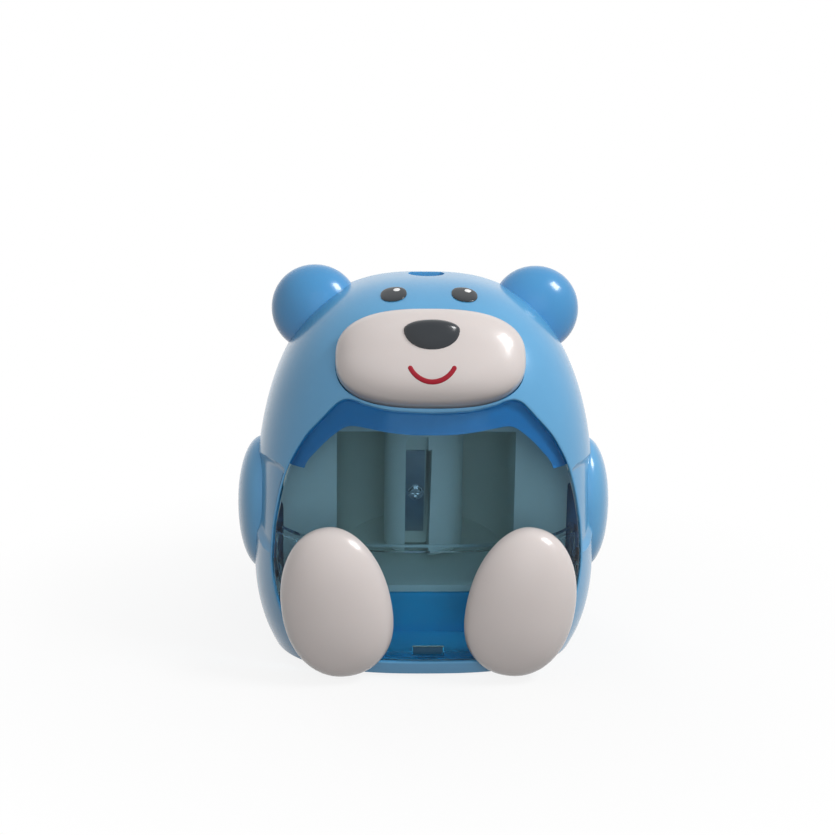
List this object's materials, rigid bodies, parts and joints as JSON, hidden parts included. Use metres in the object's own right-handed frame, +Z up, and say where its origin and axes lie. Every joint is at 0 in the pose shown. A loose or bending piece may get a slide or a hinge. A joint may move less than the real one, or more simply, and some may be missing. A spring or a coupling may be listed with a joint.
{
  "type": "crank pencil sharpener",
  "caption": "Bear-shaped desk pencil sharpener with a pencil hole in the crown, a clear pull-out shavings drawer, a geared single-blade cutter and a crank at the back.",
  "frame": {"origin": "on the table, under the middle of the body form (the crank and the feet reach past it)", "axes": "+X to the viewer right as the bear is seen from the front, +Y to the back, +Z up along the pencil axis"},
  "size_m": [0.11, 0.117, 0.1096],
  "materials": {
    "body_plastic": "glossy sky blue moulded plastic",
    "base_plastic": "glossy blue moulded plastic",
    "white_plastic": "glossy white moulded plastic",
    "dark_plastic": "glossy dark grey plastic",
    "dark_insert": "dark blue plastic",
    "red_plastic": "red plastic inlay",
    "clear_plastic": "clear smoke-tinted plastic",
    "cream_plastic": "satin cream moulded plastic",
    "gear_plastic": "natural acetal",
    "guide_plastic": "blue moulded plastic",
    "blade_steel": "ground blade steel",
    "screw_steel": "nickel-plated steel",
    "shaft_steel": "ground steel",
    "bush_brass": "sintered bearing bronze",
    "pad_rubber": "black rubber"
  },
  "bodies": {
    "housing": {"front_shell": "body_plastic", "rear_shell": "body_plastic", "base_plate": "base_plastic", "left_ear": "body_plastic", "right_ear": "body_plastic", "left_arm": "body_plastic", "right_arm": "body_plastic", "muzzle": "white_plastic", "nose": "dark_plastic", "smile": "red_plastic", "left_eye": "dark_plastic", "right_eye": "dark_plastic", "mechanism_frame": "cream_plastic", "gear_bracket": "cream_plastic", "bracket_screws": "screw_steel", "shaft_bush": "bush_brass", "pencil_guide": "guide_plastic", "shell_screws": "screw_steel", "base_screws": "screw_steel", "rubber_pads": "pad_rubber"},
    "drawer": {"drawer_window": "clear_plastic", "drawer_tray": "clear_plastic", "catch_insert": "dark_insert", "left_foot": "white_plastic", "right_foot": "white_plastic"},
    "cutter": {"cutter_holder": "cream_plastic", "blade": "blade_steel", "blade_screw": "screw_steel", "head_gear": "gear_plastic", "thrust_washer": "screw_steel"},
    "crank": {"crank_gear": "gear_plastic", "crank_shaft": "shaft_steel", "shaft_clip": "screw_steel", "crank_arm": "body_plastic", "crank_screw": "screw_steel", "knob_pin": "shaft_steel"},
    "knob": {"crank_knob": "white_plastic"}
  },
  "joints": [
    {"name": "drawer_slide", "type": "slide", "parent": "housing", "child": "drawer", "axis": [0, -1, 0], "range_m": [0, 0.045]},
    {"name": "crank_spin", "type": "hinge", "parent": "housing", "child": "crank", "pos_m": [0, 0.044, 0.0859], "axis": [0, 1, 0], "continuous": true},
    {"name": "cutter_spin", "type": "hinge", "parent": "housing", "child": "cutter", "pos_m": [0, 0.003, 0.068], "axis": [0, 0, 1], "continuous": true},
    {"name": "knob_spin", "type": "hinge", "parent": "crank", "child": "knob", "pos_m": [0, 0.058, 0.0519], "axis": [0, 1, 0], "continuous": true}
  ],
  "couplings": [
    {"joint": "cutter_spin", "follows": "crank_spin", "ratio": 1.25}
  ]
}
